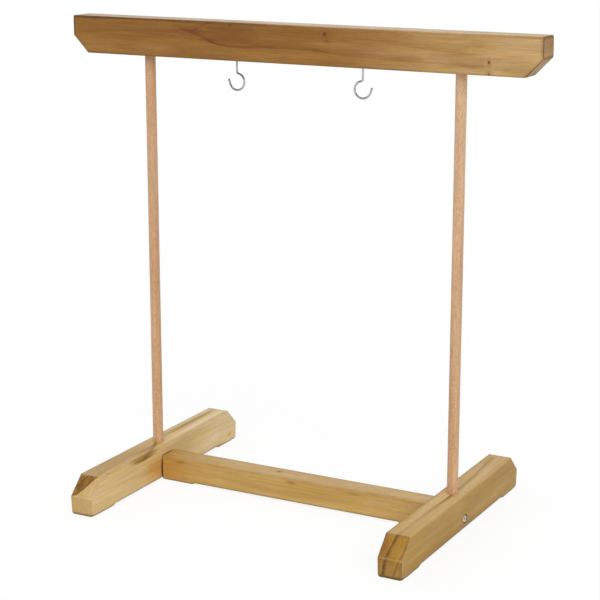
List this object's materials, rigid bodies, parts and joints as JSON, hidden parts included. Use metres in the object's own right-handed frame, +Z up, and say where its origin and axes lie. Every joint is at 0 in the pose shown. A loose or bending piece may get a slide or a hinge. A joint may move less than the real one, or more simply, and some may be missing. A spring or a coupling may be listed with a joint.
{
  "type": "gong stand",
  "caption": "Free-standing wooden gong stand: feet joined by a low stretcher, round posts in sockets, and a heavy beam with screw hooks to hang a gong from.",
  "frame": {"origin": "on the floor, under the middle of the stand", "axes": "+X along the beam to the right, +Y to the back, +Z up; the front faces -Y"},
  "size_m": [1.17, 0.66, 1.116],
  "materials": {
    "beam_timber": "oiled hardwood, mid brown with fine grain",
    "base_timber": "oiled hardwood, golden brown with paler sapwood",
    "beech": "sanded beech rod with short flecks",
    "hook_plating": "bright zinc plating",
    "fastener_steel": "zinc-plated steel"
  },
  "bodies": {
    "base": {"left_foot": "base_timber", "right_foot": "base_timber", "stretcher": "base_timber", "left_foot_bolt": "fastener_steel", "left_foot_washer": "fastener_steel", "left_barrel_nut": "fastener_steel", "left_locating_dowel": "beech", "right_foot_bolt": "fastener_steel", "right_foot_washer": "fastener_steel", "right_barrel_nut": "fastener_steel", "right_locating_dowel": "beech"},
    "left_post": {"left_post": "beech"},
    "right_post": {"right_post": "beech"},
    "beam": {"top_beam": "beam_timber"},
    "left_hook": {"left_hook": "hook_plating"},
    "right_hook": {"right_hook": "hook_plating"}
  },
  "joints": [
    {"name": "posts_lift", "type": "slide", "parent": "base", "child": "left_post", "axis": [0, 0, 1], "range_m": [0, 0.04]},
    {"name": "right_post_lift", "type": "slide", "parent": "base", "child": "right_post", "axis": [0, 0, 1], "range_m": [0, 0.04]},
    {"name": "beam_lift", "type": "slide", "parent": "left_post", "child": "beam", "axis": [0, 0, 1], "range_m": [0, 0.04]},
    {"name": "left_hook_turn", "type": "hinge", "parent": "beam", "child": "left_hook", "pos_m": [-0.159, 0, 1.03], "axis": [0, 0, 1], "range_deg": [-180, 180]},
    {"name": "right_hook_turn", "type": "hinge", "parent": "beam", "child": "right_hook", "pos_m": [0.159, 0, 1.03], "axis": [0, 0, 1], "range_deg": [-180, 180]}
  ],
  "couplings": [
    {"joint": "right_post_lift", "follows": "posts_lift", "ratio": 1}
  ]
}
